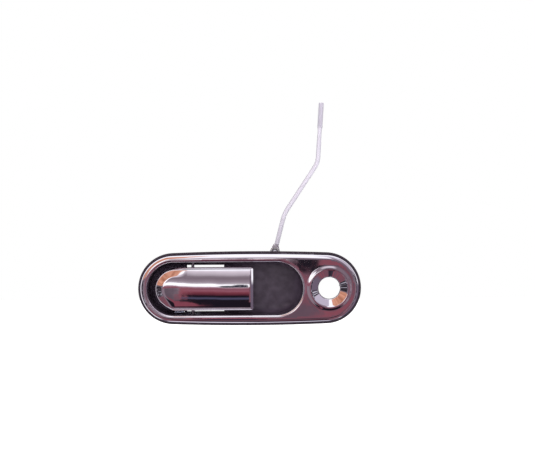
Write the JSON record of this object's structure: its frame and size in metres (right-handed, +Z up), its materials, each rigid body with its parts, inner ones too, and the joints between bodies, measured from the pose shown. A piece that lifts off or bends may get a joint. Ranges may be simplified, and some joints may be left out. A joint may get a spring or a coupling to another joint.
{
  "type": "vehicle outside door handle",
  "caption": "Flush vehicle door handle: chrome bezel around a finger bowl, hinged pull paddle, key-lock funnel, and a bell crank lifting a bent latch rod.",
  "frame": {"origin": "centre of the bezel's outline on the outer face of the door skin, which is the gasket's rear face", "axes": "+X along the door to the right as seen from outside, +Y into the door, +Z up"},
  "size_m": [0.216, 0.057, 0.2201],
  "materials": {
    "chrome": "polished chrome plate over a die casting",
    "rubber": "matte black moulded rubber",
    "black_plastic": "black moulded plastic, fine grain",
    "grey_rubber": "grey moulded rubber",
    "cast_zinc": "bare zinc die casting, lightly textured",
    "plated_steel": "zinc-plated steel",
    "spring_steel": "plain spring steel",
    "natural_plastic": "natural acetal"
  },
  "bodies": {
    "handle_body": {"bezel": "chrome", "gasket": "rubber", "housing": "black_plastic", "closed_stop_bumper": "grey_rubber", "lock_retainer_clip": "spring_steel", "hinge_pin": "plated_steel", "hinge_clip_upper": "spring_steel", "hinge_clip_lower": "spring_steel", "return_spring": "spring_steel", "crank_rivet": "plated_steel", "mounting_stud_front": "plated_steel", "mounting_stud_rear": "plated_steel", "mounting_nut_front": "plated_steel", "mounting_nut_rear": "plated_steel", "bezel_screw_1": "plated_steel", "bezel_screw_2": "plated_steel", "bezel_screw_3": "plated_steel", "bezel_screw_4": "plated_steel"},
    "paddle": {"paddle_cover": "chrome", "paddle_carrier": "cast_zinc", "hinge_bushing_upper": "natural_plastic", "hinge_bushing_lower": "natural_plastic", "cover_screw_1": "plated_steel", "cover_screw_2": "plated_steel"},
    "crank": {"bell_crank": "plated_steel", "crank_bushing": "natural_plastic", "crank_washer": "plated_steel", "rod_bushing": "natural_plastic"},
    "rod": {"link_rod": "plated_steel", "rod_clip": "spring_steel"}
  },
  "joints": [
    {"name": "paddle_pull", "type": "hinge", "parent": "handle_body", "child": "paddle", "pos_m": [-0.056, 0.012, 0], "axis": [0, 0, -1], "range_deg": [0, 26], "stiffness_Nm_per_rad": 0.25, "springref_deg": -20.05, "deforming": ["return_spring"]},
    {"name": "crank_turn", "type": "hinge", "parent": "handle_body", "child": "crank", "pos_m": [-0.012, 0.02635, 0.014], "axis": [0, -1, 0], "range_deg": [0, 17]},
    {"name": "rod_swing", "type": "hinge", "parent": "crank", "child": "rod", "pos_m": [0.0249, 0.0275, 0.034], "axis": [0, -1, 0], "range_deg": [-35, 35]}
  ],
  "couplings": [
    {"joint": "crank_turn", "follows": "paddle_pull", "ratio": 0.65}
  ]
}
